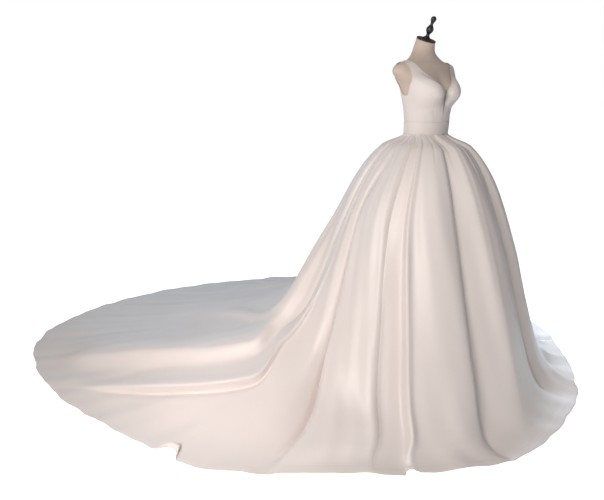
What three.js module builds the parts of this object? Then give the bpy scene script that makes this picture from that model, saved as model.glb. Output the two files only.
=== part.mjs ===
// A satin ball gown with a long swept train, on a limbless dress form with a pole stand.
// Millimetres, +Z up. The origin is on the floor under the pole. The front faces -Y, the gown's left
// side is +X, and the train lies behind, swept round towards the gown's right side.
import * as THREE from "three";

// Driving dimensions
const WAIST_HEIGHT = 1160; // lower edge of the waistband
const BAND_HEIGHT = 60;
const EASE = 2; // the bodice and waistband stand this far off the form
const CUP_EASE = 1.6; // and this much further at the point of the bust
const SEAM = 0.3; // gap between neighbouring pieces
const BODICE_WALL = 1.6;
const BAND_WALL = 2.4;
const SKIRT_WALL = 2;
const TRAIN_SWEEP = THREE.MathUtils.degToRad(54); // from straight back towards the gown's right side
const SIDE = Math.PI / 2; // turn of the left side seam, counted from the centre front
const BODICE_FOOT = WAIST_HEIGHT + BAND_HEIGHT + SEAM;
const SKIRT_TOP = WAIST_HEIGHT - SEAM;
const EDGE = SEAM / 2; // where a piece ends beside the centre line

// Form: cross-sections from the hip to the slanted top of the neck.
// half is the half width, front and back are depths from the section's own centre, which lies shift behind
// the pole, and tilt leans the section forwards in degrees.
const FORM_SECTIONS = [
  { height: 900, half: 164, front: 112, back: 124, shift: 14, tilt: 0 },
  { height: 960, half: 171, front: 116, back: 132, shift: 14, tilt: 0 },
  { height: 1040, half: 153, front: 107, back: 118, shift: 15, tilt: 0 },
  { height: 1110, half: 127, front: 95, back: 100, shift: 16, tilt: 0 },
  { height: 1160, half: 118, front: 92, back: 92, shift: 16, tilt: 0 },
  { height: 1220, half: 120, front: 97, back: 90, shift: 17, tilt: 0 },
  { height: 1290, half: 129, front: 102, back: 90, shift: 22, tilt: 0 },
  { height: 1345, half: 140, front: 101, back: 91, shift: 29, tilt: 0 },
  { height: 1375, half: 149, front: 98, back: 92, shift: 32, tilt: 0 },
  { height: 1400, half: 161, front: 94, back: 92, shift: 36, tilt: 0 },
  { height: 1428, half: 187, front: 85, back: 90, shift: 40, tilt: 0 },
  { height: 1452, half: 207, front: 77, back: 85, shift: 44, tilt: 0 },
  { height: 1474, half: 202, front: 68, back: 77, shift: 45, tilt: 0 },
  { height: 1490, half: 178, front: 61, back: 66, shift: 45, tilt: 0 },
  { height: 1498, half: 155, front: 56, back: 60, shift: 46, tilt: 0 },
  { height: 1506, half: 124, front: 53, back: 56, shift: 48, tilt: 0 },
  { height: 1519, half: 98, front: 52, back: 53, shift: 53, tilt: 0 },
  { height: 1535, half: 77, front: 50, back: 51, shift: 57, tilt: 3 },
  { height: 1552, half: 63, front: 48, back: 49, shift: 59, tilt: 8 },
  { height: 1575, half: 54, front: 47, back: 47, shift: 57, tilt: 16 },
  { height: 1605, half: 48, front: 46, back: 46, shift: 50, tilt: 23 },
];
const FORM_STATIONS_BETWEEN = 2; // rings from one section up to the next
const FORM_COLUMNS = 36;
const BUST = { apart: 80, height: 1360, out: 49, across: 56, above: 60, below: 48 };

// Bodice: a row for each level from the waistband up to the shoulder seam.
// neck and neckHeight follow the neckline, as the half width of its opening at that height. arm and
// armHeight follow the side seam (arm null) and then the armhole, as a distance from the centre line.
const FRONT_ROWS = [
  { neck: EDGE, neckHeight: BODICE_FOOT, arm: null, armHeight: BODICE_FOOT },
  { neck: EDGE, neckHeight: 1252, arm: null, armHeight: 1248 },
  { neck: 4.5, neckHeight: 1288, arm: null, armHeight: 1277 },
  { neck: 8, neckHeight: 1320, arm: null, armHeight: 1306 },
  { neck: 12, neckHeight: 1346, arm: null, armHeight: 1329 },
  { neck: 19, neckHeight: 1366, arm: null, armHeight: 1341 },
  { neck: 35, neckHeight: 1385, arm: 140, armHeight: 1350 },
  { neck: 54, neckHeight: 1404, arm: 143, armHeight: 1369 },
  { neck: 75, neckHeight: 1422, arm: 147, armHeight: 1395 },
  { neck: 94, neckHeight: 1439, arm: 152, armHeight: 1421 },
  { neck: 108, neckHeight: 1457, arm: 156, armHeight: 1444 },
  { neck: 117, neckHeight: 1475, arm: 159, armHeight: 1464 },
  { neck: 122, neckHeight: 1491, arm: 163, armHeight: 1481 },
  { neck: 123, neckHeight: 1499, arm: 165.5, armHeight: 1488 },
  { neck: 124, neckHeight: 1504, arm: 167, armHeight: 1492 },
  { neck: 124, neckHeight: 1506, arm: 168, armHeight: 1493.5 },
];
const BACK_ROWS = [
  { neck: EDGE, neckHeight: BODICE_FOOT, arm: null, armHeight: BODICE_FOOT },
  { neck: EDGE, neckHeight: 1250, arm: null, armHeight: 1248 },
  { neck: EDGE, neckHeight: 1280, arm: null, armHeight: 1277 },
  { neck: EDGE, neckHeight: 1306, arm: null, armHeight: 1306 },
  { neck: EDGE, neckHeight: 1328, arm: null, armHeight: 1329 },
  { neck: 14, neckHeight: 1344, arm: null, armHeight: 1341 },
  { neck: 32, neckHeight: 1362, arm: 138, armHeight: 1350 },
  { neck: 52, neckHeight: 1384, arm: 140, armHeight: 1369 },
  { neck: 71, neckHeight: 1406, arm: 143, armHeight: 1395 },
  { neck: 88, neckHeight: 1428, arm: 148, armHeight: 1421 },
  { neck: 102, neckHeight: 1451, arm: 153, armHeight: 1444 },
  { neck: 113, neckHeight: 1472, arm: 158, armHeight: 1464 },
  { neck: 120, neckHeight: 1490, arm: 163, armHeight: 1481 },
  { neck: 123, neckHeight: 1499, arm: 165.5, armHeight: 1488 },
  { neck: 124, neckHeight: 1504, arm: 167, armHeight: 1492 },
  { neck: 124, neckHeight: 1506, arm: 168, armHeight: 1493.5 },
];
const BODICE_COLUMNS = 11;

// Skirt: a row for each ring from the waist seam down to the hem.
// front, breadth and train are how far the ring reaches from the pole against, across and along the train's
// direction. frontHeight and trainHeight are its heights at those two ends.
const SKIRT_SECTIONS = [
  { ring: 0, front: 118, breadth: 118, train: 122, frontHeight: SKIRT_TOP, trainHeight: SKIRT_TOP },
  { ring: 1, front: 148, breadth: 152, train: 158, frontHeight: 1130, trainHeight: 1130 },
  { ring: 2, front: 202, breadth: 210, train: 216, frontHeight: 1086, trainHeight: 1086 },
  { ring: 3, front: 256, breadth: 268, train: 280, frontHeight: 1012, trainHeight: 1008 },
  { ring: 4, front: 302, breadth: 320, train: 334, frontHeight: 920, trainHeight: 915 },
  { ring: 5, front: 340, breadth: 370, train: 384, frontHeight: 815, trainHeight: 805 },
  { ring: 6, front: 376, breadth: 420, train: 435, frontHeight: 700, trainHeight: 685 },
  { ring: 7, front: 408, breadth: 470, train: 490, frontHeight: 575, trainHeight: 555 },
  { ring: 8, front: 440, breadth: 522, train: 553, frontHeight: 445, trainHeight: 420 },
  { ring: 9, front: 474, breadth: 576, train: 632, frontHeight: 315, trainHeight: 285 },
  { ring: 10, front: 508, breadth: 630, train: 735, frontHeight: 200, trainHeight: 168 },
  { ring: 11, front: 545, breadth: 684, train: 885, frontHeight: 105, trainHeight: 88 },
  { ring: 12, front: 592, breadth: 737, train: 1090, frontHeight: 40, trainHeight: 44 },
  { ring: 13, front: 654, breadth: 790, train: 1370, frontHeight: 8, trainHeight: 20 },
  { ring: 14, front: 724, breadth: 838, train: 1710, frontHeight: 0, trainHeight: 4 },
  { ring: 15, front: 796, breadth: 884, train: 2085, frontHeight: 0, trainHeight: 0 },
];
const HEM_RING = SKIRT_SECTIONS.length - 1;
const WAIST_BLEND_RINGS = 2; // over these the form's own section turns into the round ring
const WAIST_TO_HEM = 1.9; // how late the pleats swing from their waist bearing to their hem bearing
const FRONT_FULLNESS = 0.13; // the hem is this much broader at the front than along the train
const FAR_TRIM = 0.05; // and this much narrower on the side that the train sweeps away from
// Places where the hem lies further out or in than its oval, by a share of its reach, with the bearing
// and the spread to each side in degrees.
const HEM_SWELLS = [
  { bearing: -172, spread: 12, share: -0.02 },
  { bearing: -124, spread: 14, share: 0.03 },
  { bearing: -77, spread: 11, share: 0.055 },
  { bearing: -6, spread: 16, share: 0.02 },
];

// Pleat valleys, in order round the skirt. waist and hem are bearings in degrees from the train's direction,
// width is the valley's mouth at the hem and depth is how far the pleats beside it stand proud at mid skirt.
const VALLEYS = [
  { waist: -182, hem: -182, width: 150, depth: 40 },
  { waist: -146, hem: -152, width: 150, depth: 42 },
  { waist: -100, hem: -125, width: 165, depth: 46 },
  { waist: -58, hem: -103, width: 150, depth: 48 },
  { waist: -33, hem: -87, width: 120, depth: 52 },
  { waist: -14, hem: -38, width: 150, depth: 40 },
  { waist: 3, hem: -17, width: 150, depth: 40 },
  { waist: 22, hem: 24, width: 170, depth: 44 },
  { waist: 42, hem: 70, width: 160, depth: 46 },
  { waist: 66, hem: 94, width: 150, depth: 46 },
  { waist: 94, hem: 113, width: 150, depth: 44 },
  { waist: 122, hem: 132, width: 150, depth: 44 },
  { waist: 150, hem: 154, width: 150, depth: 42 },
];
// Across one pleat, from a valley's floor to the next one's: at in half valley widths from the nearer floor,
// rise as a share of the depth.
const VALLEY_STATIONS = [
  { at: 0, rise: 0 },
  { at: 0.45, rise: 0.5 },
  { at: 1, rise: 0.9 },
];
const PANEL_STEP = 190; // longest step between columns on a pleat's flat, at the hem
// The pleats' depth down the skirt, as a share of the table's depth.
const PLEAT_DEPTHS = [
  { ring: 0, share: 0 },
  { ring: 1, share: 0.14 },
  { ring: 3, share: 0.42 },
  { ring: 6, share: 0.82 },
  { ring: 9, share: 1 },
  { ring: 12, share: 0.9 },
  { ring: 13, share: 0.62 },
  { ring: 14, share: 0.3 },
  { ring: 15, share: 0.12 },
];
// Long folds of the train in plan: a ridge runs from along `from` to `to` at a distance across the train,
// as wide as reach to each side.
const TRAIN_FOLDS = [
  { from: 480, to: 1980, across: -400, reach: 290, rise: 62 },
  { from: 600, to: 1990, across: -480, reach: 70, rise: 28 },
  { from: 620, to: 2000, across: -250, reach: 80, rise: 32 },
  { from: 560, to: 1500, across: 240, reach: 110, rise: 18 },
  { from: 520, to: 1300, across: 520, reach: 100, rise: 18 },
];
const FOLD_FADE = 260; // a fold rises and dies away over this length
const HEM_SWELL_RINGS = 4; // the hem's swells grow over the last rings
const HEM_FADE_RINGS = 2; // folds die away over the last rings before the hem

// Skirt panels, from one seam valley to another by their places in VALLEYS
const SKIRT_PANELS = [
  { name: "skirt_front", from: 0, to: 3 },
  { name: "skirt_side_right", from: 3, to: 4 },
  { name: "skirt_back_right", from: 4, to: 7 },
  { name: "skirt_back_left", from: 7, to: 10 },
  { name: "skirt_side_left", from: 10, to: 13 },
];

// Stand and cap
const POLE = { radius: 12.5, bottom: 16.3, top: 896 };
const SOCKET = { top: 899.7, floor: 896.3, flange: 46, thick: 8, collar: 21, collarBottom: 850, bore: 12.8 };
const BASE_PROFILE = [
  { radius: 0, height: 0 },
  { radius: 172, height: 0 },
  { radius: 172, height: 5 },
  { radius: 165, height: 9 },
  { radius: 40, height: 14 },
  { radius: 24, height: 22 },
  { radius: 21, height: 48 },
  { radius: 12.8, height: 48 },
  { radius: 12.8, height: 16 },
  { radius: 0, height: 16 },
];
const CAP_PROFILE = [
  { radius: 0, height: 0.3 },
  { radius: 44, height: 0.3 },
  { radius: 47.5, height: 2.5 },
  { radius: 47.5, height: 5 },
  { radius: 45, height: 7 },
  { radius: 0, height: 7 },
];
const FINIAL_PROFILE = [
  { radius: 0, height: 7.3 },
  { radius: 22, height: 7.3 },
  { radius: 20, height: 11 },
  { radius: 11.5, height: 18 },
  { radius: 8, height: 26 },
  { radius: 9.5, height: 32 },
  { radius: 15.5, height: 42 },
  { radius: 17.5, height: 51 },
  { radius: 15, height: 60 },
  { radius: 9, height: 70 },
  { radius: 7, height: 76 },
  { radius: 8.5, height: 84 },
  { radius: 12, height: 93 },
  { radius: 13, height: 100 },
  { radius: 10.5, height: 107 },
  { radius: 5, height: 111.5 },
  { radius: 0, height: 112.5 },
];
const LATHE_SEGMENTS = 24;

const MATERIALS = {
  satin: new THREE.MeshStandardMaterial({ color: 0xece0da, roughness: 0.45, metalness: 0 }),
  form: new THREE.MeshStandardMaterial({ color: 0xc9b6a4, roughness: 0.75, metalness: 0 }),
  black: new THREE.MeshStandardMaterial({ color: 0x1c1b1b, roughness: 0.4, metalness: 0 }),
  steel: new THREE.MeshStandardMaterial({ color: 0xb9bcc0, roughness: 0.35, metalness: 1 }),
};

const { lerp, smoothstep, clamp, degToRad } = THREE.MathUtils;

// Every column of a table at a place along its first column, on a smooth curve through its rows.
function sample(rows, at) {
  const key = Object.keys(rows[0])[0];
  const last = rows.length - 2;
  const found = rows.findIndex((row) => at < row[key]) - 1;
  const i = found === -2 ? last : clamp(found, 0, last);
  const slope = (n, column) => {
    const before = rows[Math.max(n - 1, 0)];
    const after = rows[Math.min(n + 1, rows.length - 1)];
    return (after[column] - before[column]) / (after[key] - before[key]);
  };
  const step = rows[i + 1][key] - rows[i][key];
  const t = clamp((at - rows[i][key]) / step, 0, 1);
  const made = {};
  for (const column of Object.keys(rows[0])) {
    const rise = rows[i + 1][column] - rows[i][column];
    const leave = slope(i, column) * step;
    const arrive = slope(i + 1, column) * step;
    const bend = (1 - t) * (leave - rise) - t * (arrive - rise);
    made[column] = rows[i][column] + t * rise + t * (1 - t) * bend;
  }
  return made;
}

// Outward normal of a surface that is a function of two places, by differences.
function normalOf(surface, a, b, stepA, stepB) {
  const alongA = surface(a + stepA, b).sub(surface(a - stepA, b));
  const alongB = surface(a, b + stepB).sub(surface(a, b - stepB));
  return alongA.cross(alongB).normalize();
}

// The swell of the bust at a distance from the centre line, from 0 to 1.
function bustShare(x, height, forward) {
  const off = (Math.abs(x) - BUST.apart) / BUST.across;
  const lift = (height - BUST.height) / (height > BUST.height ? BUST.above : BUST.below);
  return Math.exp(-off * off - lift * lift) * Math.max(forward, 0);
}

// The form's skin at a turn from the centre front towards the left side.
function formSkin(turn, height) {
  const section = sample(FORM_SECTIONS, height);
  const tilt = degToRad(section.tilt);
  const x = section.half * Math.sin(turn);
  const forward = Math.cos(turn);
  const depth = forward > 0 ? section.front : section.back;
  const y = -depth * forward - BUST.out * bustShare(x, height, forward);
  return new THREE.Vector3(x, section.shift + y * Math.cos(tilt), height + y * Math.sin(tilt));
}

function offForm(turn, height, out, level = false) {
  const normal = normalOf(formSkin, turn, height, 0.01, 2);
  if (level) normal.setZ(0).normalize();
  const skin = formSkin(turn, height);
  const cup = CUP_EASE * bustShare(skin.x, height, Math.cos(turn));
  return skin.addScaledVector(normal, out + cup);
}

// Two triangles for four corners, split along the shorter diagonal.
function splitQuad(points, a, b, c, d) {
  const acrossAC = points[a].distanceTo(points[c]);
  const acrossBD = points[b].distanceTo(points[d]);
  return acrossAC < acrossBD - 1e-6 ? [a, b, c, a, c, d] : [a, b, d, b, c, d];
}

// A closed wall between two grids of points, rows by columns, the outer one seen with its rows running up
// and its columns running to the right.
function wallGeometry(inner, outer) {
  const rows = inner.length;
  const columns = inner[0].length;
  const points = [...inner.flat(), ...outer.flat()];
  const side = rows * columns;
  const faces = [];
  const quad = (...corners) => faces.push(...splitQuad(points, ...corners));
  for (let r = 0; r + 1 < rows; r++) {
    for (let c = 0; c + 1 < columns; c++) {
      const at = r * columns + c;
      quad(at + side, at + 1 + side, at + columns + 1 + side, at + columns + side);
      quad(at, at + columns, at + columns + 1, at + 1);
    }
  }
  for (let c = 0; c + 1 < columns; c++) {
    const top = (rows - 1) * columns + c;
    quad(c, c + 1, c + 1 + side, c + side);
    quad(top + 1, top, top + side, top + 1 + side);
  }
  for (let r = 0; r + 1 < rows; r++) {
    const left = r * columns;
    const right = left + columns - 1;
    quad(left + columns, left, left + side, left + columns + side);
    quad(right, right + columns, right + columns + side, right + side);
  }
  const geometry = new THREE.BufferGeometry().setFromPoints(points);
  geometry.setIndex(faces);
  return geometry;
}

// Draws the first and last columns of a grid, or its last row, in by half a seam, square to that edge.
function drawIn(grid, { columns = true, top = false } = {}) {
  const drawn = grid.map((row) => row.map((point) => point.clone()));
  const lastRow = grid.length - 1;
  const lastColumn = grid[0].length - 1;
  const draw = (r, c, inward, before, after) => {
    const edge = after.clone().sub(before).normalize();
    const step = inward.clone().sub(grid[r][c]);
    step.addScaledVector(edge, -step.dot(edge)).setLength(SEAM / 2);
    drawn[r][c].add(step);
  };
  if (columns) {
    grid.forEach((row, r) => {
      const before = grid[Math.max(r - 1, 0)];
      const after = grid[Math.min(r + 1, lastRow)];
      draw(r, 0, row[1], before[0], after[0]);
      draw(r, lastColumn, row[lastColumn - 1], before[lastColumn], after[lastColumn]);
    });
  }
  if (top) {
    const row = grid[lastRow];
    row.forEach((_, c) => {
      draw(lastRow, c, grid[lastRow - 1][c], row[Math.max(c - 1, 0)], row[Math.min(c + 1, lastColumn)]);
    });
  }
  return drawn;
}

const gown = new THREE.Group();

function addMesh(name, geometry, material, parent = gown) {
  const mesh = new THREE.Mesh(geometry, material);
  mesh.name = name;
  parent.add(mesh);
  return mesh;
}

// Half of the bodice, front or back. side is 1 for the gown's left and -1 for its right.
function addBodice(name, rows, side, isFront) {
  const turnAt = (distance, height) => {
    const turn = Math.asin(clamp(distance / sample(FORM_SECTIONS, height).half, -1, 1));
    return isFront ? turn : Math.PI - turn;
  };
  const grid = (out) =>
    rows.map((row, r) => {
      const neckTurn = turnAt(row.neck, row.neckHeight);
      const armTurn = row.arm === null ? SIDE : turnAt(row.arm, row.armHeight);
      const points = Array.from({ length: BODICE_COLUMNS + 1 }, (_, c) => {
        const share = c / BODICE_COLUMNS;
        const height = lerp(row.neckHeight, row.armHeight, share);
        return offForm(side * lerp(neckTurn, armTurn, share), height, out, r === 0);
      });
      const runsLeft = (side === 1) === isFront;
      return runsLeft ? points : points.reverse();
    });
  const seams = { columns: false, top: true };
  const drawSideSeam = (points) => {
    const drawn = drawIn(points, seams);
    const sideFirst = (side === 1) !== isFront;
    rows.forEach((row, r) => {
      if (row.arm !== null) return;
      const column = sideFirst ? 0 : BODICE_COLUMNS;
      drawn[r][column].y += (isFront ? -1 : 1) * (SEAM / 2);
    });
    return drawn;
  };
  const inner = drawSideSeam(grid(EASE));
  const outer = drawSideSeam(grid(EASE + BODICE_WALL));
  addMesh(name, wallGeometry(inner, outer), MATERIALS.satin);
}

// A stretch of the waistband between two turns.
function addBand(name, fromTurn, toTurn, columns) {
  const heights = [WAIST_HEIGHT, WAIST_HEIGHT + BAND_HEIGHT / 2, WAIST_HEIGHT + BAND_HEIGHT];
  const turns = Array.from({ length: columns + 1 }, (_, c) => lerp(fromTurn, toTurn, c / columns));
  const grid = (out) => heights.map((height) => turns.map((turn) => offForm(turn, height, out, true)));
  addMesh(name, wallGeometry(drawIn(grid(EASE)), drawIn(grid(EASE + BAND_WALL))), MATERIALS.satin);
}

const ALONG = new THREE.Vector2(-Math.sin(TRAIN_SWEEP), Math.cos(TRAIN_SWEEP)); // the train's direction in plan
const ACROSS = new THREE.Vector2(Math.cos(TRAIN_SWEEP), Math.sin(TRAIN_SWEEP));

// How far the train's folds lift the cloth at a place in plan.
function foldLift(along, across) {
  return TRAIN_FOLDS.reduce((lift, fold) => {
    const off = (across - fold.across) / fold.reach;
    const rises = smoothstep(along, fold.from, fold.from + FOLD_FADE);
    const dies = 1 - smoothstep(along, fold.to - FOLD_FADE, fold.to);
    return lift + fold.rise * Math.exp(-off * off) * rises * dies;
  }, 0);
}

// The hem's swells, growing towards the hem.
function hemReach(bearing, ring) {
  const near = smoothstep(ring, HEM_RING - HEM_SWELL_RINGS, HEM_RING);
  return HEM_SWELLS.reduce((reach, swell) => {
    const apart = bearing - degToRad(swell.bearing);
    const off = Math.atan2(Math.sin(apart), Math.cos(apart)) / degToRad(swell.spread);
    return reach + near * swell.share * Math.exp(-off * off);
  }, 1);
}

// The skirt at the level of its valley floors, for a column that starts and ends at given bearings.
function skirtFloor(waistBearing, hemBearing, ring) {
  const section = sample(SKIRT_SECTIONS, ring);
  const swing = Math.pow(ring / HEM_RING, WAIST_TO_HEM);
  const bearing = lerp(waistBearing, hemBearing, swing);
  const middle = (section.train - section.front) / 2;
  const reach = hemReach(bearing, ring);
  const along = middle + ((section.train + section.front) / 2) * Math.cos(bearing) * reach;
  const spread = Math.pow(ring / HEM_RING, 2);
  const fullness = 1 - spread * FRONT_FULLNESS * Math.cos(bearing);
  const trim = (spread * FAR_TRIM * (1 + Math.sin(bearing))) / 2;
  const across = section.breadth * Math.sin(bearing) * (fullness - trim) * reach;
  const height = lerp(section.frontHeight, section.trainHeight, (1 + Math.cos(bearing)) / 2);
  const lift = foldLift(along, across) * (1 - smoothstep(ring, HEM_RING - HEM_FADE_RINGS, HEM_RING));
  const plan = ALONG.clone().multiplyScalar(along).addScaledVector(ACROSS, across);
  const point = new THREE.Vector3(plan.x, plan.y, Math.max(height, 0) + lift);
  const waist = offForm(Math.PI - bearing + TRAIN_SWEEP, WAIST_HEIGHT, EASE, true).setZ(point.z);
  return waist.lerp(point, smoothstep(ring, 0, WAIST_BLEND_RINGS));
}

// The columns of the whole skirt: bearings at waist and hem, and the rise over the valley floor.
function skirtColumns() {
  const columns = [];
  const seams = [];
  VALLEYS.forEach((valley, v) => {
    const next = VALLEYS[(v + 1) % VALLEYS.length];
    const turnRound = v + 1 === VALLEYS.length ? 360 : 0;
    const span = { waist: next.waist + turnRound - valley.waist, hem: next.hem + turnRound - valley.hem };
    const from = skirtFloor(degToRad(valley.waist), degToRad(valley.hem), HEM_RING);
    const to = skirtFloor(degToRad(next.waist), degToRad(next.hem), HEM_RING);
    const length = from.distanceTo(to);
    const mouths = { left: valley.width / 2 / length, right: next.width / 2 / length };
    const add = (share, rise) => {
      const depth = lerp(valley.depth, next.depth, share);
      const waist = degToRad(valley.waist + share * span.waist);
      columns.push({ waist, hem: degToRad(valley.hem + share * span.hem), rise: rise * depth });
    };
    seams.push(columns.length);
    VALLEY_STATIONS.forEach((station) => add(station.at * mouths.left, station.rise));
    const steps = Math.max(3, Math.round((length * (1 - mouths.left - mouths.right)) / PANEL_STEP));
    for (let n = 1; n < steps; n++) {
      const share = lerp(mouths.left, 1 - mouths.right, n / steps);
      add(share, lerp(0.9, 1, Math.sin((Math.PI * n) / steps)));
    }
    VALLEY_STATIONS.slice(1)
      .reverse()
      .forEach((station) => add(1 - station.at * mouths.right, station.rise));
  });
  return { columns, seams };
}

function addSkirt() {
  const { columns, seams } = skirtColumns();
  const rings = SKIRT_SECTIONS.map((section) => section.ring);
  const inner = rings.map((ring) =>
    columns.map(({ waist, hem, rise }) => {
      const floor = (swing, at) => skirtFloor(waist + swing, hem + swing, at);
      const normal = normalOf(floor, 0, clamp(ring, 0.02, HEM_RING - 0.02), -0.01, -0.02);
      const point = floor(0, ring).addScaledVector(normal, rise * sample(PLEAT_DEPTHS, ring).share);
      return point.setZ(Math.max(point.z, 0));
    }),
  );
  const count = columns.length;
  const outer = inner.map((row, r) =>
    row.map((point, c) => {
      const before = row[(c + count - 1) % count];
      const after = row[(c + 1) % count];
      const above = inner[Math.max(r - 1, 0)][c];
      const below = inner[Math.min(r + 1, HEM_RING)][c];
      const normal = before.clone().sub(after).cross(above.clone().sub(below)).normalize();
      if (r === 0) normal.setZ(0).normalize();
      return point.clone().addScaledVector(normal, SKIRT_WALL);
    }),
  );
  // Half a seam from one panel's edge towards the next panel, square to the seam.
  const halfSeam = (r, c) => {
    const row = inner[r];
    const seam = inner[Math.max(r - 1, 0)][c].clone().sub(inner[Math.min(r + 1, HEM_RING)][c]).normalize();
    const step = row[(c + 1) % count].clone().sub(row[(c + count - 1) % count]);
    return step.addScaledVector(seam, -step.dot(seam)).setLength(SEAM / 2);
  };
  seams.push(count);
  SKIRT_PANELS.forEach(({ name, from, to }) => {
    const [start, end] = [seams[from], seams[to]];
    const cut = (grid) =>
      grid
        .map((row, r) => {
          const stretch = [...row, row[0]].slice(start, end + 1).map((point) => point.clone());
          stretch[0].add(halfSeam(r, start));
          stretch.at(-1).sub(halfSeam(r, end % count));
          return stretch.reverse();
        })
        .reverse();
    addMesh(name, wallGeometry(cut(inner), cut(outer)), MATERIALS.satin);
  });
}

// The form's torso and neck: rings through the sections, closed by a flat below and a slanted flat above.
function addTorso() {
  const heights = FORM_SECTIONS.slice(1).flatMap((section, i) =>
    Array.from({ length: FORM_STATIONS_BETWEEN }, (_, n) =>
      lerp(FORM_SECTIONS[i].height, section.height, n / FORM_STATIONS_BETWEEN),
    ),
  );
  heights.push(FORM_SECTIONS.at(-1).height);
  const rings = heights.map((height) =>
    Array.from({ length: FORM_COLUMNS }, (_, c) => formSkin((c / FORM_COLUMNS) * 2 * Math.PI, height)),
  );
  const middleOf = (ring) =>
    ring.reduce((sum, point) => sum.add(point), new THREE.Vector3()).divideScalar(ring.length);
  const points = [...rings.flat(), middleOf(rings[0]), middleOf(rings.at(-1))];
  const bottom = rings.length * FORM_COLUMNS;
  const faces = [];
  for (let c = 0; c < FORM_COLUMNS; c++) {
    const next = (c + 1) % FORM_COLUMNS;
    for (let r = 0; r + 1 < rings.length; r++) {
      const low = r * FORM_COLUMNS;
      const high = low + FORM_COLUMNS;
      faces.push(...splitQuad(points, low + c, low + next, high + next, high + c));
    }
    const top = (rings.length - 1) * FORM_COLUMNS;
    faces.push(bottom, next, c, bottom + 1, top + c, top + next);
  }
  const geometry = new THREE.BufferGeometry().setFromPoints(points);
  geometry.setIndex(faces);
  addMesh("form_torso", geometry, MATERIALS.form);
}

// A turned piece on a vertical axis.
function turned(profile) {
  const outline = profile.map(({ radius, height }) => new THREE.Vector2(radius, height));
  return new THREE.LatheGeometry(outline, LATHE_SEGMENTS).rotateX(Math.PI / 2);
}

function addNeckTop() {
  const top = FORM_SECTIONS.at(-1);
  const group = new THREE.Group();
  group.position.set(0, top.shift, top.height);
  group.rotation.x = degToRad(top.tilt);
  addMesh("form_neck_cap", turned(CAP_PROFILE), MATERIALS.black, group);
  addMesh("form_finial", turned(FINIAL_PROFILE), MATERIALS.black, group);
  gown.add(group);
}

function addStand() {
  const { radius, bottom, top } = POLE;
  const pole = new THREE.CylinderGeometry(radius, radius, top - bottom, LATHE_SEGMENTS);
  pole.rotateX(Math.PI / 2).translate(0, 0, (top + bottom) / 2);
  addMesh("form_pole", pole, MATERIALS.steel);
  addMesh("form_base", turned(BASE_PROFILE), MATERIALS.steel);
  const under = SOCKET.top - SOCKET.thick;
  const socketProfile = [
    { radius: 0, height: SOCKET.floor },
    { radius: SOCKET.bore, height: SOCKET.floor },
    { radius: SOCKET.bore, height: SOCKET.collarBottom },
    { radius: SOCKET.collar, height: SOCKET.collarBottom },
    { radius: SOCKET.collar, height: under },
    { radius: SOCKET.flange, height: under },
    { radius: SOCKET.flange, height: SOCKET.top },
    { radius: 0, height: SOCKET.top },
  ];
  addMesh("form_socket", turned(socketProfile), MATERIALS.steel);
}

addBodice("bodice_front_right", FRONT_ROWS, -1, true);
addBodice("bodice_front_left", FRONT_ROWS, 1, true);
addBodice("bodice_back_right", BACK_ROWS, -1, false);
addBodice("bodice_back_left", BACK_ROWS, 1, false);
addBand("waistband_front", -SIDE, SIDE, 20);
addBand("waistband_back_left", SIDE, Math.PI, 10);
addBand("waistband_back_right", -Math.PI, -SIDE, 10);
addSkirt();
addTorso();
addNeckTop();
addStand();

export default gown;
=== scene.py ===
import bpy
import bmesh
import math
import numpy as np
from mathutils import Matrix, Vector


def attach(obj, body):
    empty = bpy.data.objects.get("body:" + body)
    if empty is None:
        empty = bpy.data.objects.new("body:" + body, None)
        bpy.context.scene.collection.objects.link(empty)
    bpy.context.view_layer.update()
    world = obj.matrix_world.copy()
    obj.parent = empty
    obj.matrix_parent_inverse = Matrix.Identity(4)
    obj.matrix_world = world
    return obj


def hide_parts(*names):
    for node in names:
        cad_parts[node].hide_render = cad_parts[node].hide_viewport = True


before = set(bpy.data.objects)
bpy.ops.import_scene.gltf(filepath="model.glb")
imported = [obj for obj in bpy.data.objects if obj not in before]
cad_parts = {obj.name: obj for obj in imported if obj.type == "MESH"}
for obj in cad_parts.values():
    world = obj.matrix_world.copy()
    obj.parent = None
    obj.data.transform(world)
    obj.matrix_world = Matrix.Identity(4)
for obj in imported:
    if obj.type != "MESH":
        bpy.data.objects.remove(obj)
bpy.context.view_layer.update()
scene = bpy.context.scene
mm = 0.001
print("frame loaded:", len(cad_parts), "nodes")


def mix(a, b, t):
    return a + (b - a) * t


def ease(x, low, high):
    t = np.clip((x - low) / (high - low), 0, 1)
    return t * t * (3 - 2 * t)


def unit(v):
    return v / np.maximum(np.linalg.norm(v, axis=-1, keepdims=True), 1e-9)


def curveThrough(rows, at):
    # all columns of a table at places along its first column, on a smooth curve through the rows
    rows = np.array(rows, float)
    keys = rows[:, 0]
    slopes = np.empty_like(rows)
    slopes[1:-1] = (rows[2:] - rows[:-2]) / (keys[2:] - keys[:-2])[:, None]
    slopes[0] = (rows[1] - rows[0]) / (keys[1] - keys[0])
    slopes[-1] = (rows[-1] - rows[-2]) / (keys[-1] - keys[-2])
    at = np.clip(np.asarray(at, float), keys[0], keys[-1])
    i = np.clip(np.searchsorted(keys, at, side="right") - 1, 0, len(keys) - 2)
    step = (keys[i + 1] - keys[i])[..., None]
    t = (at[..., None] - keys[i][..., None]) / step
    climb = rows[i + 1] - rows[i]
    bend = (1 - t) * (slopes[i] * step - climb) - t * (slopes[i + 1] * step - climb)
    return np.moveaxis(rows[i] + t * climb + t * (1 - t) * bend, -1, 0)


def runLength(points, axis):
    # distance run along the rows or columns of a grid
    steps = np.linalg.norm(np.diff(points, axis=axis), axis=-1)
    start = np.zeros_like(np.take(steps, [0], axis=axis))
    return np.concatenate([start, np.cumsum(steps, axis=axis)], axis=axis)


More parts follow.
